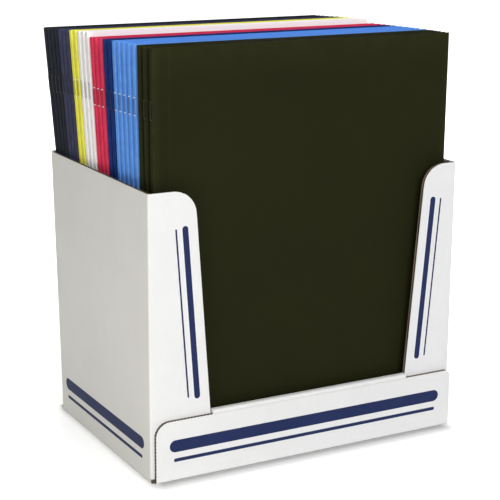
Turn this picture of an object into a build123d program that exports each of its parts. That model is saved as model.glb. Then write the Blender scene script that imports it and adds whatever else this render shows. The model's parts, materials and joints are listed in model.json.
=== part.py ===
from build123d import *
import math
import os

os.makedirs("parts", exist_ok=True)

# Sizes in mm and angles in degrees. X runs to the right, Y to the back, Z up.
# The origin is the middle of the tray's underside.

# One folder, closed
folder_width = 241.3
folder_height = 300.5
folder_thickness = 4.4
sheet = 0.45
fold_radius = 0.6
crease_gap = 0.3

# Pockets, folded up from the lower edge of each leaf
pocket_height = 101.6
pocket_inset = 8.0
pocket_cut = 20.0
pocket_tab = 14.0
pocket_tab_short = 6.0

# Tang fasteners through the spine
fastener_count = 3
fastener_pitch = 107.95
fastener_base = 13.0
fastener_prong = 22.0
fastener_gauge = 0.3
slit_play = 0.1

# The set: how the folders stand in the tray
folder_count = 25
folder_gap = 0.5
lean_most = 11.5
lean_ease = 0.8
stand_clear = 0.3
side_play = 3.5
stagger = 2.8
cover_swing = 1.8
raised_share = 0.52

# Tray of corrugated board
board = 3.0
crease_radius = 1.5
tray_height = 208.2
back_lean = 3.0
back_inset = 2.5
front_height = 44.8
front_inset = 3.0
front_corner_left = 11.0
front_corner_right = 5.0
flap_corner = 18.0
left_flap_top = 35.5
left_flap_foot = 50.3
right_flap_top = 27.5
right_flap_foot = 44.0
roll_play = 0.6
roll_radius = 2.0
lock_tab_width = 30.0
lock_tab_inset = 4.0
lock_tab_short = 0.5
lock_slot_play = 0.5
glue_tab_width = 30.0
glue_tab_low = 12.0
glue_tab_clear = 2.4
glue_tab_taper = 10.0
bottom_flap_play = 1.0

# Lengths that follow from the sizes above
fastener_strip = folder_thickness - 2 * (fold_radius + slit_play)
folder_pitch = (folder_thickness + folder_gap) / math.cos(math.radians(lean_most))
front_play = folder_width * math.sin(math.radians(cover_swing)) + folder_gap
tray_width = folder_width + 2 * (side_play + board)
lean_rise = tray_height - board - stand_clear
lean_reach = lean_rise * math.tan(math.radians(lean_most))
back_slope = math.tan(math.radians(back_lean))
back_board = board / math.cos(math.radians(back_lean))
glue_tab_drop = (back_board + glue_tab_clear) / (math.tan(math.radians(lean_most)) - back_slope)
stack_reach = folder_thickness + (folder_count - 1) * folder_pitch + lean_reach
top_depth = 2 * board + front_play + stack_reach + folder_gap + back_board
tray_depth = top_depth - tray_height * back_slope

left = -tray_width / 2
right = tray_width / 2
front = -tray_depth / 2
flap_front = front + board
flap_back = front + 2 * board
first_foot = flap_back + front_play + folder_thickness
raised_from = round(folder_count * raised_share)
raise_shift = board * math.tan(math.radians(lean_most))


def block(x0, x1, y0, y1, z0, z1):
    """A block between two opposite corners."""
    middle = Pos((x0 + x1) / 2, (y0 + y1) / 2, (z0 + z1) / 2)
    return middle * Box(x1 - x0, y1 - y0, z1 - z0)


def upright(points, y0, thickness):
    """A panel that stands across the tray: (x, z) corners, from y0 backwards."""
    outline = Plane.XZ * make_face(Polyline(*points, close=True).edges())
    return Pos(0, y0, 0) * extrude(outline, thickness, dir=(0, 1, 0))


def lengthwise(points, x0, thickness):
    """A panel that stands along the tray: (y, z) corners, from x0 to the right."""
    outline = Plane.YZ * make_face(Polyline(*points, close=True).edges())
    return Pos(x0, 0, 0) * extrude(outline, thickness, dir=(1, 0, 0))


def back_inner(z):
    """Where the back wall's inner face stands at height z."""
    return tray_depth / 2 - back_board + z * back_slope


def tray_base():
    """The bottom panel, creased round its lower edge, with a slot for each lock tab of the roll-over."""
    panel = block(left, right, front, tray_depth / 2 + board * back_slope, 0, board)
    panel = fillet(panel.faces().sort_by(Axis.Z)[0].edges(), crease_radius)
    for middle in lock_tab_middles():
        half = lock_tab_width / 2 + lock_slot_play
        panel -= block(
            middle - half, middle + half,
            flap_front - lock_slot_play, flap_back + lock_slot_play,
            -board, 2 * board,
        )
    return panel


def flap_reach(top, foot, z):
    """How far a flap's slanted edge is from its crease at height z."""
    return foot + (top - foot) * (z - board) / (tray_height - board)


def window(z):
    """The left and right limits of the gap between the flaps at height z."""
    near = left + flap_reach(left_flap_top, left_flap_foot, z) + roll_play
    far = right - flap_reach(right_flap_top, right_flap_foot, z) - roll_play
    return near, far


def lock_tab_middles():
    """The two lock tabs stand near the ends of the front window."""
    near, far = window(board)
    reach = lock_tab_inset + lock_tab_width / 2
    return [near + reach, far - reach]


def bottom_flap():
    """A flap of the back wall that lies on the base, under the rear part of the set."""
    edge = foot_line(raised_from - 1) + folder_gap + raise_shift
    inner = left + board + bottom_flap_play
    return block(inner, -inner, edge, back_inner(board), board, 2 * board)


def back_wall():
    """The back panel, which leans out a little under the set. Its ends stop short of the side walls' creases."""
    low, high = back_inner(board), back_inner(tray_height)
    return lengthwise(
        [(low, board), (high, tray_height), (high + back_board, tray_height), (low + back_board, board)],
        left + back_inset, tray_width - 2 * back_inset,
    )


def side_wall(outer, inner):
    """A side panel: upright in front, with the back wall's lean and the crease to its glue tab behind."""
    panel = lengthwise(
        [
            (flap_back, board),
            (back_inner(board), board),
            (back_inner(tray_height), tray_height),
            (flap_back, tray_height),
        ],
        min(outer, inner), board,
    )
    middle = tray_height / 2
    crease = panel.edges().sort_by_distance((outer, back_inner(middle), middle))[0]
    return fillet(crease, crease_radius)


def glue_tab(x_near, x_far):
    """A side wall's tab, stuck on the inner face of the back wall. Its free edge is tapered."""
    low, high = glue_tab_low, tray_height - glue_tab_drop
    tab = lengthwise(
        [
            (back_inner(low) - back_board, low),
            (back_inner(high) - back_board, high),
            (back_inner(high), high),
            (back_inner(low), low),
        ],
        min(x_near, x_far), abs(x_far - x_near),
    )
    reach = tray_depth
    for end, inward in ((low, 1), (high, -1)):
        wedge = upright(
            [(x_near, end), (x_far, end), (x_far, end + inward * glue_tab_taper)],
            -reach, 2 * reach,
        )
        tab -= wedge
    return tab


def left_wall():
    inner = left + board
    return [side_wall(left, inner), glue_tab(inner, inner + glue_tab_width)]


def right_wall():
    inner = right - board
    return [side_wall(right, inner), glue_tab(inner, inner - glue_tab_width)]


def front_flap(crease, top, foot):
    """A flap folded in from a side wall. top and foot are signed widths from the crease."""
    panel = upright(
        [(crease, board), (crease + foot, board), (crease + top, tray_height), (crease, tray_height)],
        flap_front, board,
    )
    corner = panel.edges().filter_by(Axis.Y).sort_by_distance((crease + top, flap_front, tray_height))[0]
    panel = fillet(corner, flap_corner)
    fold = panel.edges().filter_by(Axis.Z).sort_by_distance((crease, flap_front, tray_height / 2))[0]
    return fillet(fold, crease_radius)


def front_wall():
    """The low outer panel in front of the flaps."""
    inner = left + front_inset
    panel = block(inner, right, front, flap_front, board, front_height)
    edges = panel.edges().filter_by(Axis.Y)
    upper_left = edges.sort_by_distance((inner, front, front_height))[0]
    panel = fillet(upper_left, front_corner_left)
    edges = panel.edges().filter_by(Axis.Y)
    upper_right = edges.sort_by_distance((right, front, front_height))[0]
    return fillet(upper_right, front_corner_right)


def roll_over():
    """The front wall's top strip and inner panel between the flaps, with its two lock tabs."""
    foot, top = window(board), window(front_height)
    strip = block(*top, front, flap_back, front_height, front_height + board)
    strip = fillet(strip.faces().sort_by(Axis.Z)[-1].edges().filter_by(Axis.X), roll_radius)
    panel = upright(
        [(foot[0], board), (foot[1], board), (top[1], front_height), (top[0], front_height)],
        flap_front, board,
    )
    piece = strip + panel
    for middle in lock_tab_middles():
        half = lock_tab_width / 2
        piece += block(middle - half, middle + half, flap_front, flap_back, lock_tab_short, board)
    return piece


def spine_strip(crease):
    """The spine with its two folds. crease is the gap left before the front leaf."""
    inner_radius = fold_radius - sheet
    rear_centre = (fold_radius, -fold_radius)
    front_centre = (fold_radius, fold_radius - folder_thickness)
    turn = 90 - math.degrees(crease / fold_radius)
    rear_fold = CenterArc(rear_centre, fold_radius, 90, 90)
    front_fold = CenterArc(front_centre, fold_radius, 180, turn)
    front_inside = CenterArc(front_centre, inner_radius, 180, turn)
    rear_inside = CenterArc(rear_centre, inner_radius, 90, 90)
    outline = make_face([
        rear_fold,
        Line(rear_fold @ 1, front_fold @ 0),
        front_fold,
        Line(front_fold @ 1, front_inside @ 1),
        front_inside,
        Line(front_inside @ 0, rear_inside @ 1),
        rear_inside,
        Line(rear_inside @ 0, rear_fold @ 0),
    ])
    strip = extrude(outline, folder_height, dir=(0, 0, 1))
    half = fastener_strip / 2 + slit_play
    middle = -folder_thickness / 2
    for height in fastener_heights():
        for side in (-1, 1):
            leg = height + side * (fastener_base - fastener_gauge) / 2
            play = fastener_gauge / 2 + slit_play
            strip -= block(-sheet, 2 * sheet, middle - half, middle + half, leg - play, leg + play)
    return strip


def fastener_heights():
    """The fasteners are spaced evenly about the middle of the spine."""
    first = folder_height / 2 - (fastener_count - 1) / 2 * fastener_pitch
    return [first + n * fastener_pitch for n in range(fastener_count)]


def fastener(height):
    """A bent strip: base outside the spine, two legs through it, two prongs flat inside."""
    base = fastener_base / 2
    tip = base + fastener_prong
    gauge = fastener_gauge
    half = [
        (-gauge, base),
        (sheet, base),
        (sheet, tip),
        (sheet + gauge, tip),
        (sheet + gauge, base - gauge),
        (0, base - gauge),
    ]
    lower = [(x, -z) for x, z in reversed(half)]
    points = [(x, height + z) for x, z in half + lower]
    return upright(points, -(folder_thickness + fastener_strip) / 2, fastener_strip)


def leaf_with_pocket(outer, inward):
    """A leaf and its pocket. outer is the leaf's outer face, inward the way to the paper (+1 or -1)."""
    def slab(x0, x1, deep0, deep1, z0, z1):
        """A block between two depths below the leaf's outer face."""
        near, far = sorted((outer + inward * deep0, outer + inward * deep1))
        return block(x0, x1, near, far, z0, z1)

    leaf = slab(fold_radius, folder_width, 0, sheet, 0, folder_height)
    bottom = slab(pocket_inset, folder_width, sheet, 3 * sheet, 0, sheet)
    tab = slab(
        folder_width - pocket_tab, folder_width, sheet, 2 * sheet,
        sheet, pocket_height - pocket_tab_short,
    )
    near, far = sorted((outer + inward * 2 * sheet, outer + inward * 3 * sheet))
    panel = upright(
        [
            (pocket_inset, sheet),
            (folder_width, sheet),
            (folder_width, pocket_height),
            (pocket_inset + pocket_cut, pocket_height),
            (pocket_inset, pocket_height - pocket_cut),
        ],
        near, far - near,
    )
    return [leaf, bottom, tab, panel]


def foot_line(number):
    """How far back the rear lower edge of a folder is. Folder 0 is the front one."""
    shift = raise_shift if number >= raised_from else 0
    return first_foot + number * folder_pitch + shift


def lean_share(number):
    """A folder's share of the largest lean. The fan opens a little more between the front folders."""
    return (number / (folder_count - 1)) ** lean_ease


def stand(number):
    """Where a folder stands: its rear lower edge and its lean."""
    share = lean_share(number)
    x = -folder_width / 2 + stagger * (1 - 2 * share)
    floor = 2 * board if number >= raised_from else board
    return Location((x, foot_line(number), floor + stand_clear), (-lean_most * share, 0, 0))


def write(name, solids):
    """One node to one file."""
    export_step(Compound(list(solids)), f"parts/{name}.step")


def build_tray():
    write("tray_base", [tray_base()])
    write("tray_back_wall", [back_wall()])
    write("tray_left_wall", left_wall())
    write("tray_right_wall", right_wall())
    write("tray_left_flap", [front_flap(left, left_flap_top, left_flap_foot)])
    write("tray_right_flap", [front_flap(right, -right_flap_top, -right_flap_foot)])
    write("tray_front_wall", [front_wall()])
    write("tray_roll_over", [roll_over()])
    write("tray_bottom_flap", [bottom_flap()])


def build_folders():
    back = leaf_with_pocket(0, -1)
    front_leaf = leaf_with_pocket(-folder_thickness, 1)
    fasteners = [fastener(height) for height in fastener_heights()]
    whole = back + [spine_strip(0)] + front_leaf
    hinged = back + [spine_strip(crease_gap)]
    for number in range(folder_count):
        place = stand(number)
        name = f"folder_{number + 1:02d}"
        if number == 0:
            write(name + "_back", [place * solid for solid in hinged])
            write(name + "_front", [place * solid for solid in front_leaf])
        else:
            write(name + "_cover", [place * solid for solid in whole])
        write(name + "_fasteners", [place * solid for solid in fasteners])


build_tray()
build_folders()
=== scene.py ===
# %% [markdown]
# # A display tray filled with two-pocket folders
# The real object is one sheet of white-faced corrugated board, cut, creased and folded into a tray with a
# low front, and twenty-five paper folders that stand in it, fanned a little to the back. The CAD model holds
# every part at its true size. This lesson reads those sizes and dresses each part: boards that show their
# flutes where they are cut, paper covers with soft folds, steel fasteners, and a finish for each of them.

# %% Load the CAD model
import json
import math

import bmesh
import bpy
import numpy as np
from mathutils import Matrix, Vector


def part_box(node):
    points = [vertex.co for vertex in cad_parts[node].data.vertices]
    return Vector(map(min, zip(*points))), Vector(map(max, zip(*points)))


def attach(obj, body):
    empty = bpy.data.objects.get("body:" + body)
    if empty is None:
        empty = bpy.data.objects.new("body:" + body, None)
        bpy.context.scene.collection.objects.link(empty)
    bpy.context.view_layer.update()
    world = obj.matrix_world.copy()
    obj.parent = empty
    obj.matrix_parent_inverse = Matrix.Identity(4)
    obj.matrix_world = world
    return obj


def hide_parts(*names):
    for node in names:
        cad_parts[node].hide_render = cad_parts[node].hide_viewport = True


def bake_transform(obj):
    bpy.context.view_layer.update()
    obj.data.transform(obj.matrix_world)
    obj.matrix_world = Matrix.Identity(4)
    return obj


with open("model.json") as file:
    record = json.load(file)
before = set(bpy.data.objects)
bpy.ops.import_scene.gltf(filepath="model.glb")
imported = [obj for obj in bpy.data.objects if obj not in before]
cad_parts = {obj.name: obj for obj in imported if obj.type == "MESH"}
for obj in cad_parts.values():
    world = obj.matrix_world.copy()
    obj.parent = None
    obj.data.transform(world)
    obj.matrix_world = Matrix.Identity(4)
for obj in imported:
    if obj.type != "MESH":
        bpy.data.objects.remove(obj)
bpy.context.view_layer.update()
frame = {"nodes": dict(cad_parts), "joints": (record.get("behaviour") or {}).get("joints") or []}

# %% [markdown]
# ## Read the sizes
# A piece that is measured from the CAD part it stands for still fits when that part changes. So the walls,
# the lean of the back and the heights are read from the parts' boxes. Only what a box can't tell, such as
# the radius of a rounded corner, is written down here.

mm = 0.001
base_low, base_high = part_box("tray_base")
left, right, front, board = base_low.x, base_high.x, base_low.y, base_high.z
left_flap_low, left_flap_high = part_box("tray_left_flap")
right_flap_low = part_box("tray_right_flap")[0]
flap_front, flap_back, tray_top = left_flap_low.y, left_flap_high.y, left_flap_high.z
front_low, front_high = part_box("tray_front_wall")
roll_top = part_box("tray_roll_over")[1].z
rear_low, rear_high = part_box("tray_back_wall")
rear_foot = rear_low.y
rear_slope = (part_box("tray_left_wall")[1].y - rear_foot) / (tray_top - board)
back_board = board * math.hypot(1, rear_slope)

left_flap_foot, right_flap_foot = left_flap_high.x - left, right - right_flap_low.x
left_flap_top, right_flap_top, flap_corner = 35.5 * mm, 27.5 * mm, 18 * mm
front_corner_left, front_corner_right = 11 * mm, 5 * mm
crease_radius, roll_radius, roll_play = 1.5 * mm, 2 * mm, 0.6 * mm
lock_tab_width, lock_tab_inset, lock_tab_short, lock_slot_play = 30 * mm, 4 * mm, 0.5 * mm, 0.5 * mm
glue_tab_width, glue_tab_low, glue_tab_high, glue_tab_taper = 30 * mm, 12 * mm, 172.4 * mm, 10 * mm


def in_mm(*values):
    """Sizes to print, in millimetres."""
    return [round(float(v) / mm, 2) for v in values]


print("tray", in_mm(right - left, rear_foot - front, tray_top), "mm")

# %% [markdown]
# ## A helper for nodes
# Finishes, flutes and fasteners are all made of nodes here, and Blender keeps nodes in trees. Adding each
# node and each link by hand fills pages, so one helper adds a node to a tree and gives it its inputs. An
# input is a plain value, another node's socket, or a node, which then gives its first output.

# %% Node trees
class Tree:
    """A node tree, with short ways to add nodes to it."""

    def __init__(self, group):
        self.group = group

    def set(self, node, inputs):
        """Gives a node's inputs values or links. A key is the input's name, or i and its number."""
        for key, value in inputs.items():
            socket = node.inputs[int(key[1:]) if key[1:].isdigit() else key.replace("_", " ")]
            if isinstance(value, bpy.types.Node):
                value = value.outputs[0]
            if isinstance(value, bpy.types.NodeSocket):
                self.group.links.new(value, socket)
            else:
                socket.default_value = value

    def add(self, kind, settings=None, **inputs):
        """A new node with its settings and its inputs."""
        node = self.group.nodes.new(kind)
        for key, value in (settings or {}).items():
            setattr(node, key, value)
        self.set(node, inputs)
        return node

    def math(self, kind, first, second=0.0):
        return self.add("ShaderNodeMath", {"operation": kind}, i0=first, i1=second)


# %% [markdown]
# ## Small helpers for materials
# Every finish is a recipe of nodes, with no picture files. The colours are given as screen values from 0 to
# 255, and a shader wants linear light, so one helper converts them. Patterns read Object coordinates,
# because each piece's object stays at the origin.

# %% Material helpers
def ink(red, green, blue):
    """A screen colour as linear light."""
    def linear(value):
        value = value / 255
        return value / 12.92 if value <= 0.04045 else ((value + 0.055) / 1.055) ** 2.4
    return (linear(red), linear(green), linear(blue), 1.0)


def tint(colour, factor, grey=0.0):
    """The same colour lighter or darker, and drawn towards grey."""
    mean = sum(colour[:3]) / 3
    return tuple(min(1.0, factor * (c + (mean - c) * grey)) for c in colour[:3]) + (1.0,)


class Recipe(Tree):
    """A new material with its shader, and the steps that finishes are made of."""

    def __init__(self, name):
        self.material = bpy.data.materials.new(name)
        self.material.use_nodes = True
        super().__init__(self.material.node_tree)
        self.spot = self.add("ShaderNodeTexCoord").outputs["Object"]

    def noise(self, scale, detail=2.0, rough=0.5, stretch=None):
        where = self.add("ShaderNodeMapping", Vector=self.spot, Scale=stretch) if stretch else self.spot
        return self.add("ShaderNodeTexNoise", Vector=where, Scale=scale, Detail=detail, Roughness=rough)

    def blend(self, factor, first, second):
        mix = self.add("ShaderNodeMix", {"data_type": "RGBA"}, i0=factor, i6=first, i7=second)
        return mix.outputs[2]

    def ramp(self, value, low, high, to_low, to_high):
        return self.add("ShaderNodeMapRange", Value=value, From_Min=low, From_Max=high,
                        To_Min=to_low, To_Max=to_high)

    def attribute(self, name):
        return self.add("ShaderNodeAttribute", {"attribute_name": name}).outputs["Fac"]

    def bump(self, height, depth, strength, **under):
        return self.add("ShaderNodeBump", Height=height, Distance=depth, Strength=strength, **under)

    def done(self, **inputs):
        """Gives the shader its inputs, and returns the material."""
        self.set(self.group.nodes["Principled BSDF"], inputs)
        return self.material


print("half of a screen's scale is", round(ink(128, 128, 128)[0], 3), "as linear light")

# %% [markdown]
# ## Board: white face, brown back, brown flutes
# Corrugated board is two flat papers, the liners, with a wavy paper between them. The outer liner here is
# white and smooth, and the inner liner and the wave are plain brown kraft. The wave shows through the liner
# as faint ribs, the washboard, so the white face gets a very shallow bump that follows the distance along
# the board. That distance is stored on each point as an attribute called run.

# %% Finishes of the board
flute_pitch = 6.4 * mm


def white_face():
    look = Recipe("white_liner")
    cloud = look.noise(26, 5, 0.6)
    fibre = look.noise(700, 3, 0.6)
    base = look.blend(cloud, ink(218, 218, 218), ink(228, 228, 228))
    turn = look.math("MULTIPLY", look.attribute("run"), 2 * math.pi / flute_pitch)
    ribs = look.bump(look.math("SINE", turn), 0.02 * mm, 0.35)
    return look.done(
        Base_Color=look.blend(look.ramp(fibre, 0.3, 0.7, 0, 0.16), base, ink(206, 203, 196)),
        Roughness=look.ramp(look.noise(60, 3), 0.3, 0.7, 0.42, 0.56),
        Normal=look.bump(fibre, 0.03 * mm, 0.4, Normal=ribs),
        Specular_IOR_Level=0.15,
    )


def kraft(name, colour):
    look = Recipe(name)
    fibre = look.noise(420, 5, 0.7, (1.0, 1.0, 0.25))
    fleck = look.noise(1500, 2, 0.5)
    base = look.blend(fibre, tint(colour, 0.78), tint(colour, 1.18))
    return look.done(
        Base_Color=look.blend(look.ramp(fleck, 0.62, 0.78, 0, 0.6), base, tint(colour, 0.55)),
        Roughness=look.ramp(fibre, 0.3, 0.7, 0.75, 0.95),
        Normal=look.bump(fibre, 0.05 * mm, 0.5),
        Specular_IOR_Level=0.2,
    )


def printed_ink():
    look = Recipe("print_blue")
    speck = look.noise(1300, 3, 0.6)
    cloud = look.noise(40, 4, 0.6)
    base = look.blend(cloud, ink(29, 38, 75), ink(38, 48, 88))
    return look.done(
        Base_Color=look.blend(look.ramp(speck, 0.6, 0.75, 0, 0.5), base, ink(64, 75, 116)),
        Roughness=look.ramp(speck, 0.3, 0.7, 0.45, 0.6),
        Normal=look.bump(speck, 0.01 * mm, 0.3),
        Specular_IOR_Level=0.08,
    )


board_finishes = [
    white_face(),
    kraft("kraft_liner", ink(122, 107, 91)),
    kraft("kraft_flute", ink(82, 74, 66)),
    printed_ink(),
]
WHITE, BROWN, FLUTE, PRINT = range(len(board_finishes))
print("board finishes", [m.name for m in board_finishes])

# %% [markdown]
# ## Folding a sheet
# Everything in this object is a flat sheet that was folded, so one way of building serves nearly all of it.
# Seen end on, a folded sheet is a line with rounded corners. A layer of the sheet lies between two such
# lines, one at each face, and runs across from a low limit to a high limit at each point of the line. Where
# the limits change along the line, the cut edge is slanted or rounded. An extrude and a bevel would also
# fold a sheet, but they can't follow an edge that changes along the fold.

# %% Paths with rounded corners
least_bend = 0.15 * mm


def unit(vector):
    return vector / np.linalg.norm(vector)


def straight(start, end, step):
    """Evenly spaced points from start to end."""
    start, end = np.array(start, float), np.array(end, float)
    count = max(2, round(np.linalg.norm(end - start) / step))
    return np.linspace(start, end, count + 1)


def along(path):
    """The distance of each point of a path from its start."""
    return np.concatenate([[0], np.cumsum(np.linalg.norm(np.diff(path, axis=0), axis=1))])


def points_at(path, distances):
    """The points of a path at some distances from its start."""
    return np.stack([np.interp(distances, along(path), path[:, k]) for k in (0, 1)], 1)


def round_corner(before, corner, after, radius, steps):
    """Points of the arc that rounds a corner."""
    to_before, to_after = unit(before - corner), unit(after - corner)
    half = math.acos(max(-1.0, min(1.0, float(to_before @ to_after)))) / 2
    centre = corner + unit(to_before + to_after) * radius / math.sin(half)
    start = corner + to_before * radius / math.tan(half) - centre
    end = corner + to_after * radius / math.tan(half) - centre
    first = math.atan2(start[1], start[0])
    sweep = (math.atan2(end[1], end[0]) - first + math.pi) % (2 * math.pi) - math.pi
    angles = first + sweep * np.linspace(0, 1, steps + 1)
    return centre + radius * np.stack([np.cos(angles), np.sin(angles)], 1)


def fold_path(corners, radius, side, deep, step, steps=6):
    """The line of a folded sheet at a depth below its outer face, with as many points at every depth.
    side is +1 where the outer face is on the left of the line and -1 where it is on the right."""
    corners = [np.array(c, float) for c in corners]
    runs = [unit(b - a) for a, b in zip(corners, corners[1:])]
    outs = [side * np.array([-d[1], d[0]]) for d in runs]
    moved = [corners[0] - outs[0] * deep]
    for corner, one, two in zip(corners[1:-1], outs, outs[1:]):
        moved.append(corner - (one + two) * deep / (1 + one @ two))
    moved.append(corners[-1] - outs[-1] * deep)
    arcs = [
        round_corner(*moved[i - 1:i + 2], max(radius - deep, least_bend), steps)
        for i in range(1, len(moved) - 1)
    ]
    starts = [moved[0]] + [arc[-1] for arc in arcs]
    ends = [arc[0] for arc in arcs] + [moved[-1]]
    path = []
    for i, (a, b) in enumerate(zip(starts, ends)):
        count = max(1, round(np.linalg.norm(corners[i + 1] - corners[i]) / step))
        path.append(np.linspace(a, b, count + 1))
        if i < len(arcs):
            path.append(arcs[i][1:-1])
    return np.concatenate(path)


sample = fold_path([(3, 0), (0, 0), (0, 3)], 1, -1, 0, 1)
print("two runs of 3 with a corner of radius 1 between them are", round(along(sample)[-1], 2), "long")


# %% Layers between two paths
def from_above(a, b, c):
    """A path seen from above, and the height across it, as x, y and z."""
    return np.stack([a, b, c], -1)


def from_side(a, b, c):
    """A path seen from the side, and the place across it, as x, y and z."""
    return np.stack([c, a, b], -1)


def layer(outer, inner, low, high, place, finish=0, rows=2):
    """A closed sheet between two matching paths, from low to high across them.
    place(a, b, c) turns a path's point (a, b) and a place across (c) into x, y and z."""
    count = len(outer)
    low, high = np.broadcast_to(low, count), np.broadcast_to(high, count)
    across = np.linspace(low, high, rows, axis=1)
    faces_at = [place(p[:, :1] + 0 * across, p[:, 1:] + 0 * across, across) for p in (outer, inner)]
    points = np.concatenate([f.reshape(-1, 3) for f in faces_at])
    out, back = np.arange(2 * count * rows).reshape(2, count, rows)

    def quads(*corners):
        return np.stack(corners, -1).reshape(-1, 4).tolist()

    faces = (
        quads(out[:-1, :-1], out[1:, :-1], out[1:, 1:], out[:-1, 1:])
        + quads(back[:-1, :-1], back[:-1, 1:], back[1:, 1:], back[1:, :-1])
        + quads(out[:-1, 0], back[:-1, 0], back[1:, 0], out[1:, 0])
        + quads(out[:-1, -1], out[1:, -1], back[1:, -1], back[:-1, -1])
        + quads(out[0, :-1], out[0, 1:], back[0, 1:], back[0, :-1])
        + quads(out[-1, :-1], back[-1, :-1], back[-1, 1:], out[-1, 1:])
    )
    run = np.tile(np.repeat(along(outer), rows), 2)
    return {"points": points, "faces": faces, "finish": finish, "run": run}


def plate(outline, near, far, place, finish):
    """A flat layer with any outline, between two depths."""
    count = len(outline)
    outline = np.array(outline)
    points = np.concatenate([place(outline[:, 0], np.full(count, d), outline[:, 1]) for d in (near, far)])
    faces = [tuple(range(count)), tuple(reversed(range(count, 2 * count)))]
    faces += [(i, i + count, (i + 1) % count + count, (i + 1) % count) for i in range(count)]
    return {"points": points, "faces": faces, "finish": finish, "run": np.tile(outline[:, 1], 2)}


print("a layer along it has", len(layer(sample, sample - 0.1, 0, 1, from_above)["faces"]), "faces")

# %% [markdown]
# ## From layers to a piece
# The layers of one board are put together into one mesh, because the real board is one piece. Each layer is
# a closed shell, so its faces can be turned outwards by Blender itself. Points that fall together at a
# pointed end are merged first. Smooth shading with sharp edges by angle keeps the cut edges crisp and the
# folds round. Each piece then says how many faces it has and which CAD parts it stands for.

# %% Assemble a piece
def new_object(name, data):
    """An object for a mesh, a light or a camera, put in the scene."""
    made = bpy.data.objects.new(name, data)
    bpy.context.scene.collection.objects.link(made)
    return made


def points_of(mesh, matrix=Matrix()):
    """The points of a mesh, moved by a matrix."""
    return np.array([matrix @ v.co for v in mesh.vertices])


def mark_points(mesh, key, values):
    """Stores a number on each point, for finishes and trees to read."""
    mesh.attributes.new(key, "FLOAT", "POINT").data.foreach_set("value", np.asarray(values, np.float32))


def finish_mesh(name, mesh, finishes, smooth=35):
    """The mesh as an object, smooth up to an angle, with its finishes."""
    mesh.shade_smooth()
    mesh.set_sharp_from_angle(angle=math.radians(smooth))
    for material in finishes:
        mesh.materials.append(material)
    return new_object(name, mesh)


def assemble(name, layers, finishes, smooth=35):
    """One object from several closed layers."""
    mesh = bpy.data.meshes.new(name)
    points, faces, finish, start = [], [], [], 0
    for part in layers:
        points.append(part["points"])
        faces += [tuple(i + start for i in f) for f in part["faces"]]
        finish += [part["finish"]] * len(part["faces"])
        start += len(part["points"])
    mesh.from_pydata(np.concatenate(points).tolist(), [], faces)
    mesh.polygons.foreach_set("material_index", finish)
    for key in ("run", "wear_and_highlight"):
        plain = [part.get(key, np.zeros(len(part["points"]))) for part in layers]
        mark_points(mesh, key, np.concatenate(plain))
    form = bmesh.new()
    form.from_mesh(mesh)
    bmesh.ops.dissolve_degenerate(form, dist=1e-7, edges=form.edges)
    bmesh.ops.recalc_face_normals(form, faces=form.faces)
    form.to_mesh(mesh)
    form.free()
    return finish_mesh(name, mesh, finishes, smooth)


def settle(piece, body, slot, *nodes):
    """The piece rides on a body and stands for CAD nodes, whose parts it hides. The slot is not used."""
    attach(piece, body)
    if nodes:
        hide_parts(*nodes)
    print(piece.name, len(piece.data.polygons), "faces, for", ", ".join(nodes) or "nothing")


# %% [markdown]
# ## The flutes, by Geometry Nodes
# The wavy paper inside the board repeats along the board, so a node tree makes it. It takes a flat strip
# whose points know their distance along the board, pushes each point across the board by a sine of that
# distance, and gives the paper its thickness. A sine drawn point by point in code would do the same, but
# here the pitch, the height and the gauge are inputs that can be turned in the modifier panel.

# %% The flute tree
def start_tree(name, inputs):
    """An empty geometry tree with named inputs, and the sockets that bring them in."""
    group = bpy.data.node_groups.new(name, "GeometryNodeTree")
    for key, kind in {"Geometry": "Geometry", **inputs}.items():
        group.interface.new_socket(name=key, in_out="INPUT", socket_type="NodeSocket" + kind)
    group.interface.new_socket(name="Geometry", in_out="OUTPUT", socket_type="NodeSocketGeometry")
    return Tree(group), group.nodes.new("NodeGroupInput").outputs


def end_tree(tree, geometry, finish):
    """Gives the geometry its finish and sends it out of the tree."""
    real = tree.add("GeometryNodeRealizeInstances", Geometry=geometry)
    done = tree.add("GeometryNodeSetMaterial", Geometry=real, Material=finish)
    tree.add("NodeGroupOutput", Geometry=done)
    return tree.group


def flute_tree():
    tree, given = start_tree("Flutes", {
        "Pitch": "Float", "Height": "Float", "Gauge": "Float", "Across": "Vector", "Finish": "Material",
    })
    run = tree.add("GeometryNodeInputNamedAttribute", {"data_type": "FLOAT"}, Name="run")
    turns = tree.math("DIVIDE", run, given["Pitch"])
    wave = tree.math("SINE", tree.math("MULTIPLY", turns, 2 * math.pi))
    rise = tree.math("MULTIPLY", wave, given["Height"])
    push = tree.add("ShaderNodeVectorMath", {"operation": "SCALE"}, i0=given["Across"], Scale=rise)
    bent = tree.add("GeometryNodeSetPosition", Geometry=given["Geometry"], Offset=push)
    thick = tree.add("GeometryNodeExtrudeMesh", {"mode": "FACES"}, Mesh=bent, Offset=given["Across"],
                     Offset_Scale=given["Gauge"], Individual=False)
    both = tree.add("GeometryNodeJoinGeometry", Geometry=thick)
    tree.set(both, {"Geometry": tree.add("GeometryNodeFlipFaces", Mesh=bent)})
    whole = tree.add("GeometryNodeMergeByDistance", Geometry=both, Distance=0.001 * mm)
    return end_tree(tree, whole, given["Finish"])


def run_tree(mesh, tree, values):
    """What a tree makes of a mesh, as a plain mesh. The modifier goes again with its object."""
    bearer = new_object("bearer", mesh)
    modifier = bearer.modifiers.new("make", "NODES")
    modifier.node_group = tree
    for socket in tree.interface.items_tree:
        if socket.in_out == "INPUT" and socket.name in values:
            modifier[socket.identifier] = values[socket.name]
    evaluated = bearer.evaluated_get(bpy.context.evaluated_depsgraph_get())
    made = bpy.data.meshes.new_from_object(evaluated)
    bearer.modifiers.remove(modifier)
    bpy.data.objects.remove(bearer)
    return made


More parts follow.
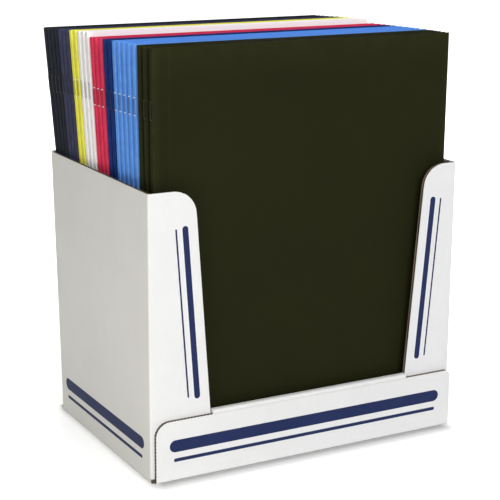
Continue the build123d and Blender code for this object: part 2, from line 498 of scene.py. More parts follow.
flutes = flute_tree()
print("flute inputs", [s.name for s in flutes.interface.items_tree if s.in_out == "INPUT"])

# %% A panel's liners and flutes
liner, medium = 0.35 * mm, 0.22 * mm
flute_step, fine_step, plain_step = flute_pitch / 8, 1 * mm, 2 * mm
flute_height = (board - 2 * liner - medium) / 2


def liners(face, thick, low, high, place, finishes=(WHITE, BROWN)):
    """The two liners of a flat panel, from the path along its first face."""
    depths = ((0, liner), (thick - liner, thick))
    return [layer(face - [0, near], face - [0, far], low, high, place, finish)
            for (near, far), finish in zip(depths, finishes)]


def fluted(path, low, high, place, across):
    """The wavy paper of one flat panel, between the liners. path runs along the middle of the board."""
    count = len(path)
    ends = [place(path[:, 0], path[:, 1], np.broadcast_to(c, count)) for c in (low, high)]
    points = np.stack(ends, 1).reshape(-1, 3)
    faces = [(2 * i, 2 * i + 2, 2 * i + 3, 2 * i + 1) for i in range(count - 1)]
    mesh = bpy.data.meshes.new("strip")
    mesh.from_pydata(points.tolist(), [], faces)
    mark_points(mesh, "run", np.repeat(along(path), 2))
    mesh.transform(Matrix.Translation(Vector(across) * (-medium / 2)))
    made = run_tree(mesh, flutes, {
        "Pitch": flute_pitch, "Height": flute_height, "Gauge": medium, "Across": across,
        "Finish": board_finishes[FLUTE],
    })
    faces = [tuple(p.vertices) for p in made.polygons]
    return {"points": points_of(made), "faces": faces, "finish": FLUTE}


def board_piece(name, layers, *nodes):
    """A piece of the tray's board, settled on the tray."""
    settle(assemble(name, layers, board_finishes), "tray", "board", *nodes)


print("liners, flutes and pitch", in_mm(liner, 2 * flute_height, flute_pitch), "mm")

# %% [markdown]
# ## Cut edges
# A cutting die for board has toothed knives, so a cut edge is finely scalloped and not ruler straight. The
# photo shows that on the flaps' tops and on the front wall's left end. A triangle wave of about a third of a
# millimetre along the edge gives it. The knife comes down on the white face, and the flutes and the inner
# liner give way, so they end a little lower than the white liner.

# %% Toothed edges and the flaps' outline
tooth_pitch, tooth_depth, crush = 2.6 * mm, 0.32 * mm, 0.4 * mm
tooth_step = tooth_pitch / 4


def teeth(run):
    """How far the toothed knife cuts back at a distance along an edge."""
    return tooth_depth * np.abs((np.asarray(run) / tooth_pitch) % 1 * 2 - 1)


def flap_outline(top, foot):
    """The upper edge of a flap: distance from its crease, and height."""
    start, corner, end = (np.array(p) for p in ((0, tray_top), (top, tray_top), (foot, board)))
    return np.concatenate([[start], round_corner(start, corner, end, flap_corner, 24), [end]])


def flap_reach(top, foot, z):
    """How far a flap's slanted edge is from its crease at height z."""
    return foot + (top - foot) * (z - board) / (tray_top - board)


print("teeth and their depth", in_mm(tooth_pitch, tooth_depth), "mm")

# %% [markdown]
# ## Printed stripes
# The tray's outside is printed in one blue. Here the print is plain: a bold stripe with a thin one beside
# it, along the foot of the front and the sides and beside the window on the flaps. Each stripe is a very
# thin plate with round ends that lies in the face of the board, so its edge stays sharp at any distance.

# %% Stripes
bold, thin, bold_height, thin_height = 9 * mm, 2.6 * mm, 26 * mm, 15.5 * mm
bold_inset, thin_inset, stripe_end = 9.5 * mm, 16.5 * mm, 15 * mm
ink_raised, ink_sunk = 0.03 * mm, 0.05 * mm


def stripe(start, end, width, steps=12):
    """The outline of a bar with round ends between two points."""
    start, end = np.array(start), np.array(end)
    ahead = unit(end - start)
    aside = np.array([-ahead[1], ahead[0]])
    turn = np.linspace(-math.pi / 2, math.pi / 2, steps)
    bend = width / 2 * (np.cos(turn)[:, None] * ahead + np.sin(turn)[:, None] * aside)
    return np.concatenate([end + bend, start - bend])


def foot_stripes(start, end):
    """The two stripes along the foot of a panel."""
    near, far = start + stripe_end, end - stripe_end
    return [stripe((near, h), (far, h), w) for h, w in ((bold_height, bold), (thin_height, thin))]


def printed(outlines, face, out, place):
    """Thin plates of ink on a face. out is the way out of the board along the face's depth."""
    return [plate(o, face + out * ink_raised, face - out * ink_sunk, place, PRINT) for o in outlines]


print("stripes", in_mm(bold, thin), "mm wide")

# %% [markdown]
# ## Side walls with their front flaps
# Each side of the tray is one board: a wall, a crease, and a flap folded in across the front, with a big
# rounded corner and a slanted edge. The white liner goes round the crease without a break, so the wall and
# the flap are made as one folded sheet. Inside the back, a glue tab from the same board is stuck on the back
# wall. Flutes stand upright here, so their ends show along the tops.

# %% Build the side boards
toothed_band, least_height = 2 * mm, 0.02 * mm


def tray_lean(a, b, c):
    """Upright in front, leaning with the back wall behind."""
    share = np.clip((b - flap_back) / (rear_foot - flap_back), 0, 1)
    return np.stack([a, b + rear_slope * (c - board) * share, c], -1)


def back_lean(a, b, c):
    """Leaning with the back wall."""
    return np.stack([a, b + rear_slope * (c - board), c], -1)


def side_board(hand, top, foot):
    """hand is -1 for the left side and +1 for the right."""
    edge = left if hand < 0 else right
    corners = [(edge, rear_foot), (edge, flap_front), (edge - hand * foot, flap_front)]
    round_the_rear = [(edge - hand * board, rear_foot)] + corners
    outline = flap_outline(top, foot)

    def top_of(path, toothed):
        reach = np.abs(path[:, 0] - edge)
        on_flap = path[:, 1] < flap_back
        height = np.where(on_flap, np.interp(reach, outline[:, 0], outline[:, 1]), tray_top)
        level = height > tray_top - toothed_band
        return np.maximum(height - toothed * level * teeth(along(path)), board + least_height)

    layers = []
    faces = ((0, round_the_rear, WHITE, 0), (board - liner, corners, BROWN, crush))
    for deep, bends, finish, short in faces:
        outer, inner = (fold_path(bends, crease_radius, hand, d, tooth_step) for d in (deep, deep + liner))
        layers.append(layer(outer, inner, board, top_of(outer, 1) - short, tray_lean, finish))
    x, y = edge - hand * board / 2, (flap_front + flap_back) / 2
    wall = straight((x, rear_foot), (x, flap_back), flute_step)
    flap = straight((edge - hand * board, y), (edge - hand * foot, y), flute_step)
    for path, across in ((wall, (-hand, 0, 0)), (flap, (0, 1, 0))):
        layers.append(fluted(path, board, top_of(path, 0) - tooth_depth - crush, tray_lean, across))
    return layers + side_print(hand, edge, top, foot) + glue_tab(edge - hand * board, -hand)


def side_print(hand, edge, top, foot):
    """The stripes along the foot of a side wall and up its flap."""
    low, high = front_high.z + stripe_end, tray_top - flap_corner - bold

    def beside_window(inset, width):
        ends = [(edge - hand * (flap_reach(top, foot, z) - inset), z) for z in (low, high)]
        return stripe(*ends, width)

    on_wall = foot_stripes(flap_front, rear_foot)
    up_flap = [beside_window(bold_inset, bold / 2), beside_window(thin_inset, thin / 2)]
    return (printed(on_wall, edge, hand, lambda a, b, c: tray_lean(b, a, c))
            + printed(up_flap, flap_front, -1, from_above))


def glue_tab(x, way):
    """The tab inside the back wall, white towards the wall."""
    reach = straight((x, rear_foot), (x + way * glue_tab_width, rear_foot), fine_step)
    share = np.abs(reach[:, 0] - x) / glue_tab_width
    low, high = glue_tab_low + glue_tab_taper * share, glue_tab_high - glue_tab_taper * share
    middle = fluted(reach - [0, back_board / 2], low, high, back_lean, (0, 1, 0))
    return liners(reach, back_board, low, high, back_lean) + [middle]


left_side = side_board(-1, left_flap_top, left_flap_foot)
board_piece("left_board", left_side, "tray_left_wall", "tray_left_flap")
right_side = side_board(1, right_flap_top, right_flap_foot)
board_piece("right_board", right_side, "tray_right_wall", "tray_right_flap")

# %% [markdown]
# ## Back wall, base and the flap on the base
# The back wall leans out under the weight of the set. Its flutes lie across, so they show at its upright
# ends. A flap from its foot lies on the base, under the rear folders. The base is brown on top and white
# below, with two slots for the lock tabs and a small notch at its front left corner, where the knife parted
# the front wall from the side. Its lower edges are rounded by the creases, and the white liner comes round
# the rear one, so the strip behind the back wall's foot is white.

# %% Build the back wall and the flap on the base
flute_short = 0.1 * mm


def back_panel():
    rear, middle = rear_foot + back_board, rear_foot + back_board / 2
    outer = straight((rear_low.x, rear), (rear_high.x, rear), tooth_step)
    rise = straight((middle, board), (middle, tray_top - tooth_depth), flute_step)
    wave = fluted(rise, rear_low.x + flute_short, rear_high.x - flute_short,
                  lambda a, b, c: back_lean(c, a, b), (0, 1, 0))
    return liners(outer, back_board, board, tray_top - teeth(along(outer)), back_lean) + [wave]


def flap_on_base():
    low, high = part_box("tray_bottom_flap")
    top = straight((low.y, high.z), (high.y, high.z), plain_step)
    middle = straight((low.y, high.z - board / 2), (high.y, high.z - board / 2), flute_step)
    wave = fluted(middle, low.x, high.x, from_side, (0, 0, 1))
    return liners(top, board, low.x, high.x, from_side, (BROWN, WHITE)) + [wave]


board_piece("back_wall", back_panel(), "tray_back_wall")
board_piece("base_flap", flap_on_base(), "tray_bottom_flap")

# %% Build the base
tiny = 1e-6


def window(z):
    """The left and right limits of the gap between the flaps at height z."""
    near = left + flap_reach(left_flap_top, left_flap_foot, z) + roll_play
    far = right - flap_reach(right_flap_top, right_flap_foot, z) - roll_play
    return near, far


def lock_tab_middles():
    near, far = window(board)
    reach = lock_tab_inset + lock_tab_width / 2
    return [near + reach, far - reach]


def on_outside(point):
    """Whether a point of the base lies on one of its four sides."""
    return min(point.x - left, right - point.x, point.y - front, base_high.y - point.y) < tiny


def on_rim(edge):
    """Whether an edge runs round the base's underside."""
    ends = [v.co for v in edge.verts]
    under = all(p.z < tiny and on_outside(p) for p in ends) and on_outside((ends[0] + ends[1]) / 2)
    return under and any(f.normal.z > -0.5 for f in edge.link_faces)


def base_panel():
    """A plate of cells, with the slots' and the notch's cells left out."""
    half = lock_tab_width / 2 + lock_slot_play
    xs = [left, left + board] + [m + s * half for m in lock_tab_middles() for s in (-1, 1)] + [right]
    ys = [front, flap_front - lock_slot_play, flap_back + lock_slot_play, rear_foot, base_high.y]
    empty = {(0, 0), (2, 1), (4, 1)}
    form = bmesh.new()
    spots = {(i, j): form.verts.new((x, y, board)) for i, x in enumerate(xs) for j, y in enumerate(ys)}
    for i in range(len(xs) - 1):
        for j in range(len(ys) - 1):
            if (i, j) not in empty:
                form.faces.new([spots[i, j], spots[i + 1, j], spots[i + 1, j + 1], spots[i, j + 1]])
    below = bmesh.ops.extrude_face_region(form, geom=form.faces[:])["geom"]
    sunk = [g for g in below if isinstance(g, bmesh.types.BMVert)]
    bmesh.ops.translate(form, verts=sunk, vec=(0, 0, -board))
    bmesh.ops.recalc_face_normals(form, faces=form.faces)
    rim = [e for e in form.edges if on_rim(e)]
    bmesh.ops.bevel(form, geom=rim, offset=crease_radius, segments=4, profile=0.5, affect="EDGES")
    for face in form.faces:
        centre = face.calc_center_median()
        cut = abs(face.normal.z) < 0.1 and not on_outside(centre)
        bare_top = face.normal.z > 0.5 and centre.y < rear_foot
        face.material_index = FLUTE if cut else BROWN if bare_top else WHITE
    mesh = bpy.data.meshes.new("base_panel")
    form.to_mesh(mesh)
    form.free()
    return finish_mesh("base_panel", mesh, board_finishes)


settle(base_panel(), "tray", "board", "tray_base")

# %% [markdown]
# ## Front wall and its roll-over
# The low front wall stands outside the flaps. Between the flaps its board goes on over the top in two
# creases and down again on the inside, where two lock tabs hold it in the base. So the wall itself, with one
# large and one small rounded corner, is a flat plate, and the roll-over is a folded layer on top.

# %% The front wall's outline
def front_outline():
    """The front wall's outline, with teeth along its left end and its top."""
    low_left, top_left = np.array([front_low.x, board]), np.array([front_low.x, front_high.z])
    top_right, low_right = np.array([front_high.x, front_high.z]), np.array([front_high.x, board])
    edge = np.concatenate([
        [low_left],
        round_corner(low_left, top_left, top_right, front_corner_left, 16),
        round_corner(top_left, top_right, low_right, front_corner_right, 8),
        [low_right],
    ])
    length = along(edge)[-1]
    spaced = np.linspace(0, length, round(length / tooth_step))
    dense = points_at(edge, spaced)
    tangent = np.gradient(dense, axis=0)
    tangent /= np.linalg.norm(tangent, axis=1)[:, None]
    inward = np.stack([tangent[:, 1], -tangent[:, 0]], 1)
    cut = teeth(spaced) * (spaced < length - front_high.z)
    return dense + inward * cut[:, None]


front_edge = front_outline()
print("front wall", in_mm(*np.ptp(front_edge, axis=0)), "mm")

# %% Build the front board
def front_wall_layers():
    """The wall outside the flaps: two liners and the flutes between them."""
    y, half, short = (front + flap_front) / 2, len(front_edge) // 2, 2 * flute_short
    first, last = front_edge[:half], front_edge[half:][::-1]
    rise = straight((y, board), (y, front_high.z - tooth_depth), flute_step)
    low = np.interp(rise[:, 1], first[:, 1], np.maximum.accumulate(first[:, 0]))
    high = np.interp(rise[:, 1], last[:, 1], np.minimum.accumulate(last[::-1, 0])[::-1])
    return [
        plate(front_edge, front, front + liner, from_above, WHITE),
        plate(front_edge, flap_front - liner, flap_front, from_above, BROWN),
        fluted(rise, low + short, high - short, from_side, (0, 1, 0)),
    ]


def roll_over_layers():
    """The board over the top and down on the inside, its brown face, and its lock tabs."""
    layers = []
    corners = [(front, front_high.z), (front, roll_top), (flap_back, roll_top), (flap_back, board)]
    for near, far in ((0, liner), (liner, board - liner)):
        outer, inner = (fold_path(corners, roll_radius, 1, deep, fine_step) for deep in (near, far))
        limits = np.array([window(min(z, front_high.z)) for z in outer[:, 1]])
        layers.append(layer(outer, inner, *limits.T, from_side, WHITE))
    inside = straight((flap_front + liner, front_high.z), (flap_front + liner, board), plain_step)
    limits = np.array([window(z) for z in inside[:, 1]])
    layers.append(layer(inside, inside - [liner, 0], *limits.T, from_side, BROWN))
    for middle in lock_tab_middles():
        low, high = middle - lock_tab_width / 2, middle + lock_tab_width / 2
        tab = [(low, lock_tab_short), (low, board), (high, board), (high, lock_tab_short)]
        layers.append(plate(tab, flap_front, flap_back, from_above, BROWN))
    return layers


front_print = printed(foot_stripes(front_low.x, front_high.x), front, -1, from_above)
front_layers = front_wall_layers() + roll_over_layers() + front_print
board_piece("front_board", front_layers, "tray_front_wall", "tray_roll_over")

# %% [markdown]
# ## Cover paper
# The covers are heavy paper, dyed through and embossed with a fine leather grain. It is matt and its colour
# is a little uneven. At the cut edges and along the score line the emboss is rubbed and looks lighter, and
# along the folds a highlight is painted in the same lighter colour. Both are stored on the mesh as a point
# attribute, so that the finish follows the folds. One recipe makes all eight colours. White paper gets
# fainter pores, because they would make it look grey.

# %% Finishes of the covers
def cover_paper(name, colour, rubbed_and_highlit):
    look = Recipe(name)
    cloud = look.noise(9, 4, 0.55)
    grain = look.add("ShaderNodeTexVoronoi", {"feature": "SMOOTH_F1"}, Vector=look.spot, Scale=900.0)
    pores = look.noise(2200, 2, 0.6)
    deep, pore = (0.98, 0.95) if min(colour[:3]) > 0.8 else (0.9, 0.72)
    base = look.blend(look.ramp(cloud, 0.3, 0.7, 0, 1), tint(colour, deep), tint(colour, 1.1))
    base = look.blend(look.ramp(pores, 0.35, 0.65, 0, 0.35), base, tint(colour, pore))
    # Lighter where the paper is rubbed and where a highlight is painted on the folds, broken into patches.
    patch = look.ramp(look.noise(130, 4, 0.7), 0.35, 0.6, 0.35, 1.0)
    worn_and_highlit = look.math("MULTIPLY", look.attribute("wear_and_highlight"), patch)
    fine = look.bump(pores, 0.02 * mm, 0.5)
    return look.done(
        Base_Color=look.blend(worn_and_highlit, base, rubbed_and_highlit),
        Roughness=look.ramp(cloud, 0.3, 0.7, 0.72, 0.86),
        Normal=look.bump(grain, 0.06 * mm, 0.55, Normal=fine),
        Specular_IOR_Level=0.03,
    )


paper_colours = {
    "black": (ink(35, 36, 18), 3), "light_blue": (ink(94, 153, 235), 5),
    "dark_blue": (ink(24, 45, 101), 2), "red": (ink(222, 55, 91), 3),
    "white": (ink(255, 250, 254), 3), "yellow": (ink(241, 235, 83), 2),
    "navy": (ink(58, 60, 83), 3), "charcoal": (ink(37, 40, 48), 4),
}
papers, order = {}, []
for shade, (colour, count) in paper_colours.items():
    # The lighter colour of the rubbed places and of the painted fold highlights.
    lift = 1.7 if sum(colour[:3]) < 0.4 else 1.2
    papers[shade] = cover_paper("cover_" + shade, colour, tint(colour, lift, 0.06))
    order += [shade] * count
print(len(order), "covers in", len(papers), "colours")

# %% [markdown]
# ## Where each folder stands
# Every folder leans a little more than the one before it. Its lift joint in the CAD model points straight up
# along its spine, so the joint's axis gives the lean, and the CAD part's lowest, hindmost corner gives the
# place. With that, each cover can be built upright at the origin and put in place in its mesh.

# %% Stand the folders
def folder_stand(name, node):
    """The matrix from a folder's own axes, with x from the spine, to the tray's, and the CAD part's size."""
    axis = next(j["axis"] for j in frame["joints"] if j["name"] == name + "_lift")
    turn = Matrix.Rotation(-math.atan2(axis[1], axis[2]), 4, "X")
    points = points_of(frame["nodes"][node].data, turn.inverted())
    low, high = points.min(0), points.max(0)
    return turn @ Matrix.Translation((low[0], high[1], low[2])), high - low


folder_names = [f"folder_{k + 1:02d}" for k in range(len(order))]
stands = {}
for name in folder_names:
    stands[name], size = folder_stand(name, name + ("_back" if name == "folder_01" else "_cover"))
cover_width, cover_thick, cover_height = (float(v) for v in size)
print("one folder", in_mm(cover_width, cover_thick, cover_height), "mm")

# %% [markdown]
# ## A folder's cover
# A cover is one sheet: back leaf, two folds with the spine between them, front leaf. New covers are not dead
# flat: the leaves bow a little towards their free edges, each one differently, and a score line beside the
# spine lets the leaf turn. The bow is only as large as the room that the fan leaves between neighbours. It
# is worked out from a seeded random number for each folder, so every run gives the same set.

# %% Fold a cover
sheet, fold_radius, cover_step, cover_rows = 0.45 * mm, 0.6 * mm, 6 * mm, 14
score_at, score_deep, score_half = 12.5 * mm, 0.1 * mm, 0.7 * mm
ripple_height, fold_highlight_width, worn_rim = 0.18 * mm, 0.9 * mm, 0.3 * mm


def with_marks(path, marks):
    """Adds points to a path at some distances from both its ends."""
    run = along(path)
    return points_at(path, np.unique(np.concatenate([run, marks, run[-1] - marks])))


def cover_wear_and_highlight(x, y, z, groove):
    """Lighter paper: a painted highlight, most on the folds, and rubbing on the score line and cut edges."""
    # A highlight painted along both folds of the spine.
    fold_highlight = np.exp(-((x - fold_radius * 0.4) / fold_highlight_width) ** 2)
    on_bend = (np.abs(y) < fold_radius) | (np.abs(y + cover_thick) < fold_radius)
    rim = np.minimum(np.minimum(z, cover_height - z), cover_width - x) < worn_rim
    return np.clip(0.75 * fold_highlight * on_bend + 0.4 * groove + 0.45 * rim, 0, 1)


def cover_layer(seed, bow_range):
    """The cover's sheet in the folder's own axes, bowed, with its wear and its painted fold highlight."""
    rng = np.random.default_rng(seed)
    corners = [(cover_width, 0), (0, 0), (0, -cover_thick), (cover_width, -cover_thick)]
    marks = cover_width - score_at + score_half * np.array([-1, -0.5, 0, 0.5, 1])
    outer, inner = (
        with_marks(fold_path(corners, fold_radius, -1, d, cover_step), marks) for d in (0, sheet)
    )
    part = layer(outer, inner, 0, cover_height, from_above, 0, cover_rows)
    points = part["points"]
    on_front = np.tile(np.repeat(np.arange(len(outer)) >= len(outer) // 2, cover_rows), 2)
    out = np.where(on_front, -1.0, 1.0)
    x, z = np.clip(points[:, 0] / cover_width, 0, 1), points[:, 2] / cover_height
    bow = np.where(on_front, *rng.uniform(*bow_range, 2)) * mm
    wave = 2 * np.pi * (rng.uniform(0.6, 1.1) * z + rng.uniform(0, 1)) + 2.0 * x
    ripple = ripple_height * np.sin(wave)
    groove = np.clip(1 - np.abs(points[:, 0] - score_at) / score_half, 0, 1)
    part["wear_and_highlight"] = cover_wear_and_highlight(*points.T, groove)
    points[:, 1] += out * ((bow * z ** 2 + ripple * z ** 1.5) * x ** 1.6 - score_deep * groove)
    return part


print("score line", in_mm(score_at), "mm from the spine")

# %% [markdown]
# ## Pockets
# A pocket is the lower part of the same sheet, folded up on the inside of each leaf, with a slanted cut
# beside the spine and a glued tab at the outer end. It is folded in the same way, now seen from the side.

# %% Fold the pockets
pocket_height, pocket_inset, pocket_cut = 101.6 * mm, 8 * mm, 20 * mm
pocket_tab, pocket_tab_short, pocket_play, pocket_step = 14 * mm, 6 * mm, 0.05 * mm, 5 * mm


def pocket_layers(outside, inward):
    """One leaf's pocket in the folder's own axes.
    outside is the leaf's outer face, inward the way from there into the folder."""
    def seen(deep, z):
        return (outside + inward * deep, z)

    corners = [seen(sheet, 0), seen(3 * sheet, 0), seen(3 * sheet, pocket_height)]
    outer, inner = (fold_path(corners, 2 * sheet, -inward, d, pocket_step) for d in (0, sheet))
    low = pocket_inset + np.clip(outer[:, 1] - (pocket_height - pocket_cut), 0, None)
    end = cover_width - pocket_play
    tab = straight(seen(sheet, sheet), seen(sheet, pocket_height - pocket_tab_short), pocket_height)
    tab_inside = tab + [inward * sheet * 0.98, 0]
    return [
        layer(outer, inner, low, end, from_side),
        layer(tab, tab_inside, cover_width - pocket_tab, end, from_side),
    ]


print("pocket", in_mm(pocket_height), "mm high")

# %% [markdown]
# ## Fasteners, by Geometry Nodes
# Each spine holds three tang fasteners: a flat steel strip lies outside on the spine, its ends go in through
# two slits, and two prongs lie flat inside. In the photo the strips are lacquered close to each cover's
# colour. One bent strip is repeated along the spine, so a node tree makes it: it rounds the bends of a path,
# sweeps a flat section along it and sets copies at an even pitch. The path's sizes are measured from the CAD
# fasteners. Where a strip bends into its slits a mark is painted on it: a light glint on the strips of pale
# covers and a near-black spot on those of dark covers.

# %% The fastener tree
def fastener_tree():
    tree, given = start_tree("Fasteners", {
        "Count": "Int", "Pitch": "Float", "First": "Float", "Strip": "Float", "Gauge": "Float",
        "Bend": "Float", "Finish": "Material",
    })
    line = tree.add("GeometryNodeMeshToCurve", Mesh=given["Geometry"])
    bent = tree.add("GeometryNodeFilletCurve", {"mode": "POLY"}, Curve=line, Count=3, Radius=given["Bend"],
                    Limit_Radius=True)
    section = tree.add("GeometryNodeCurvePrimitiveQuadrilateral", Width=given["Gauge"],
                       Height=given["Strip"])
    strip = tree.add("GeometryNodeCurveToMesh", Curve=bent, Profile_Curve=section, Fill_Caps=True)
    start = tree.add("ShaderNodeCombineXYZ", Z=given["First"])
    step = tree.add("ShaderNodeCombineXYZ", Z=given["Pitch"])
    spots = tree.add("GeometryNodeMeshLine", {"mode": "OFFSET"}, Count=given["Count"], Start_Location=start,
                     Offset=step)
    copies = tree.add("GeometryNodeInstanceOnPoints", Points=spots, Instance=strip)
    return end_tree(tree, copies, given["Finish"])


def lacquered_steel(shade, colour):
    look = Recipe("strip_" + shade)
    # Painted at the bends: a light glint for pale covers, a near-black spot for dark covers.
    painted_bend_spot = tint(ink(236, 238, 240), 0.9 if sum(colour[:3]) > 0.5 else 0.04)
    streak = look.noise(500, 4, 0.6, (1.0, 1.0, 0.08))
    coat = tint(colour, 0.86, 0.1)
    coat = look.blend(streak, tint(coat, 0.88), tint(coat, 1.1))
    return look.done(
        Base_Color=look.blend(look.attribute("wear_and_highlight"), coat, painted_bend_spot),
        Roughness=look.ramp(streak, 0.3, 0.7, 0.45, 0.6),
        Normal=look.bump(streak, 0.01 * mm, 0.3),
        Specular_IOR_Level=0.08,
    )


lacquers = {shade: lacquered_steel(shade, colour) for shade, (colour, count) in paper_colours.items()}
print(len(lacquers), "lacquers")

# %% Measure and bend the fasteners
# The middle size is how far the painted mark at each bend reaches along the strip.
strip_bend, bend_spot_reach, proud = 0.28 * mm, 0.9 * mm, 0.2 * mm


def fastener_mesh():
    """The three bent strips of one folder, in the folder's own axes."""
    points = points_of(frame["nodes"]["folder_02_fasteners"].data, stands["folder_02"].inverted())
    ends = np.unique(np.round(points[points[:, 0] < -proud, 2], 5))
    gauge, strip = -float(points[:, 0].min()), float(np.ptp(points[:, 1]))
    base, pitch, first = (float(v) for v in (ends[1] - ends[0], ends[2] - ends[0], (ends[0] + ends[1]) / 2))
    print("base, width and pitch of the strips", in_mm(base, strip, pitch), "mm")
    tip = first - float(points[:, 2].min())
    out, leg, inside = -gauge / 2, base / 2 - gauge / 2, sheet + gauge / 2
    half = [(out, leg - bend_spot_reach), (out, leg), (inside, leg), (inside, tip)]
    bends = [(x, -z) for x, z in reversed(half)] + half
    mesh = bpy.data.meshes.new("strip_path")
    mesh.from_pydata([(x, -cover_thick / 2, z) for x, z in bends],
                     [(i, i + 1) for i in range(len(bends) - 1)], [])
    made = run_tree(mesh, fastener_tree(), {
        "Count": len(ends) // 2, "Pitch": pitch, "First": first, "Strip": strip, "Gauge": gauge,
        "Bend": strip_bend, "Finish": lacquers["black"],
    })
    points = points_of(made)
    # The painted marks cover the outside of each strip's bends.
    bend_spots = np.abs(points[:, 2][:, None] - ends).min(1) < bend_spot_reach / 2
    mark_points(made, "wear_and_highlight", bend_spots & (points[:, 0] < sheet / 2))
    return made


bent_strips = fastener_mesh()
print("fasteners span", in_mm(*np.ptp(points_of(bent_strips), axis=0)), "mm")

# %% [markdown]
# ## Fill the tray
# Now every folder is made and put in its place: the cover with its pockets, and its fasteners. The front
# folder's front leaf can turn at its fold. Its cover is made as one sheet in place of both leaves, and the
# pocket of that leaf is a piece of its own that goes with it. Its cover bows less, to stay clear of the
# flaps.

# %% Build the set
first_seed, front_bow, other_bow = 40, (0.2, 0.5), (-1.3, 0.8)


def dress(folder, ending, layers, paper):
    """One object from a folder's layers, put where the folder stands."""
    piece = assemble(folder + ending, layers, [paper], 30)
    piece.data.transform(stands[folder])
    return piece


for number, (name, shade) in enumerate(zip(folder_names, order)):
    paper, is_front = papers[shade], number == 0
    cover = [cover_layer(first_seed + number, front_bow if is_front else other_bow)]
    back_pocket = pocket_layers(0.0, -1)
    front_pocket = pocket_layers(-cover_thick, 1)
    if is_front:
        piece = dress(name, "_sheet", cover, paper)
        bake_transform(piece)
        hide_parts(name + "_back", name + "_front")
        settle(dress(name, "_back_pocket", back_pocket, paper), name, shade)
        settle(dress(name, "_front_pocket", front_pocket, paper), name + "_front_leaf", shade)
    else:
        piece = dress(name, "_paper", cover + back_pocket + front_pocket, paper)
        settle(piece, name, shade, name + "_cover")
    strips = new_object(name + "_strips", bent_strips.copy())
    strips.data.materials.clear()
    strips.data.materials.append(lacquers[shade])
    strips.data.transform(stands[name])
    settle(strips, name, "steel", name + "_fasteners")

# %% [markdown]
# ## Floor and light
# The photo is a studio shot on white: a soft shadow at the foot of the tray, the front bright, the left side
# in half shade. The world is white where the camera looks and gives a soft light from all round. The floor
# is a plain pale plane that adds a little of its own light for the camera and for reflections only, so it
# reaches white away from the tray. At the tray's foot a shadow is painted on it: there, for the camera and
# for reflections, its colour darkens and its own light fades, and the real shadow falls on it as well. A
# broad lamp at the front left, one above, one behind on the right and a small low one on the left side model
# the shapes.

# %% World and floor
def looked_at(tree):
    """1 for rays of the camera, of reflections and through glass, 0 for rays that only carry light."""
    path = tree.add("ShaderNodeLightPath").outputs
    mirrored = tree.math("MAXIMUM", path["Is Glossy Ray"], path["Is Transmission Ray"])
    return tree.math("MAXIMUM", path["Is Camera Ray"], mirrored)


def studio_world():
    world = bpy.data.worlds.new("studio")
    bpy.context.scene.world = world
    world.use_nodes = True
    tree = Tree(world.node_tree)
    tree.group.nodes.clear()
    soft = tree.add("ShaderNodeBackground", Color=(1.0, 0.97, 0.83, 1), Strength=0.25)
    white = tree.add("ShaderNodeBackground", Color=(1, 1, 1, 1))
    mix = tree.add("ShaderNodeMixShader", i0=looked_at(tree), i1=soft, i2=white)
    tree.add("ShaderNodeOutputWorld", Surface=mix)


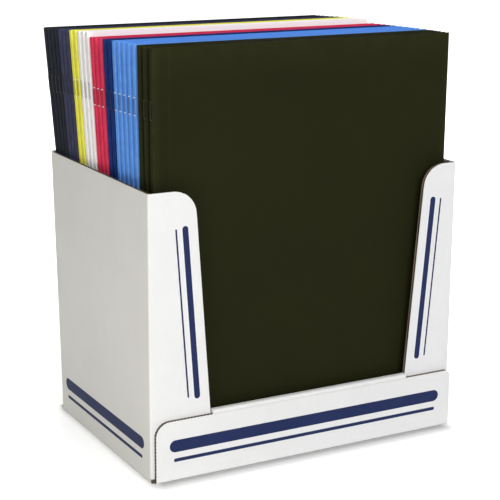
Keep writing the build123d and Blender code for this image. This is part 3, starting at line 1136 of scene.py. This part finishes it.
def floor_finish():
    """Pale, glowing for the camera and for reflections, with a painted shadow at the tray's foot."""
    look = Recipe("pale_floor")
    painted_shadow_shift, painted_shadow_inset, shadow_end, glow_end = 2 * mm, 8 * mm, 13 * mm, 350 * mm

    def vector(kind, first, second=(0, 0, 0), output=0):
        node = look.add("ShaderNodeVectorMath", {"operation": kind}, i0=first, i1=second)
        return node.outputs[output]

    # The painted shadow lies round the tray's footprint, moved a little to the front and narrowed at the
    # sides.
    middle = (base_low + base_high) / 2 - Vector((0, painted_shadow_shift, 0))
    foot = (base_high - base_low) / 2 - Vector((painted_shadow_inset, 0, 0))
    beyond = vector("SUBTRACT", vector("ABSOLUTE", vector("SUBTRACT", look.spot, middle)), foot)
    away = vector("LENGTH", vector("MAXIMUM", beyond), output="Value")
    # Painted shadow: 0 at the tray's foot, 1 where it has faded.
    clear = look.ramp(away, 0, shadow_end, 0, 1)
    seen = looked_at(look)
    # Only the camera and reflections see the painted shadow in the floor's colour.
    pale = look.math("MAXIMUM", clear, look.math("SUBTRACT", 1.0, seen))
    far_glow = look.ramp(away, shadow_end, glow_end, 0, 0.58)
    # The floor's own light also fades towards the foot, as part of the painted shadow.
    glow = look.math("ADD", look.math("MULTIPLY", clear, 0.42), far_glow)
    return look.done(
        Base_Color=look.blend(pale, (0.45, 0.45, 0.45, 1), (0.85, 0.85, 0.85, 1)),
        Roughness=0.9,
        Emission_Color=(1, 1, 1, 1),
        Emission_Strength=look.math("MULTIPLY", seen, glow),
    )


def pale_floor(half):
    mesh = bpy.data.meshes.new("floor")
    corners = [(-half, -half, 0), (half, -half, 0), (half, half, 0), (-half, half, 0)]
    mesh.from_pydata(corners, [], [(0, 1, 2, 3)])
    mesh.materials.append(floor_finish())
    floor = new_object("floor", mesh)
    print("floor", 2 * half, "m wide")


studio_world()
pale_floor(4.0)

# %% Lamps
def lamp(name, place, aim, size, power, colour=(1, 1, 1)):
    """A round soft lamp that looks from its place at its aim."""
    light = bpy.data.lights.new(name, "AREA")
    light.shape = "DISK"
    light.size, light.energy, light.color = size, power, colour
    holder = new_object(name, light)
    holder.location, holder.visible_camera = place, False
    holder.rotation_euler = (Vector(aim) - Vector(place)).to_track_quat("-Z", "Y").to_euler()
    print(name, power, "W")


lamp("front_softbox", (-0.35, -1.75, 0.8), (0, 0, 0.15), 1.4, 23.5, (0.95, 0.97, 1.03))
lamp("top_softbox", (0.1, -0.3, 1.9), (0, 0, 0.1), 1.2, 9)
lamp("rear_softbox", (0.9, 1.5, 1.0), (0, 0, 0.15), 1.2, 16)
lamp("side_softbox", (-0.45, -0.32, 0.05), (-0.12, -0.04, 0.05), 0.22, 0.55, (1.0, 0.95, 0.78))

# %% [markdown]
# ## Camera
# The camera's place and lens come from fitting the tray's and the front folder's corners to where they are
# in the photo: a long lens from the front left, a little above.

# %% Set the camera
eye = bpy.data.cameras.new("photo_view")
eye.lens, eye.sensor_width = 104.365, 36.0
camera = new_object("photo_view", eye)
camera.location = (-0.5229, -0.9454, 0.4139)
camera.rotation_euler = [math.radians(a) for a in (75.564, -0.378, -28.712)]
bpy.context.scene.camera = camera
bpy.context.scene.view_settings.view_transform = "Standard"
print("lens", round(eye.lens), "mm, camera", round(camera.location.length, 2), "m from the tray")
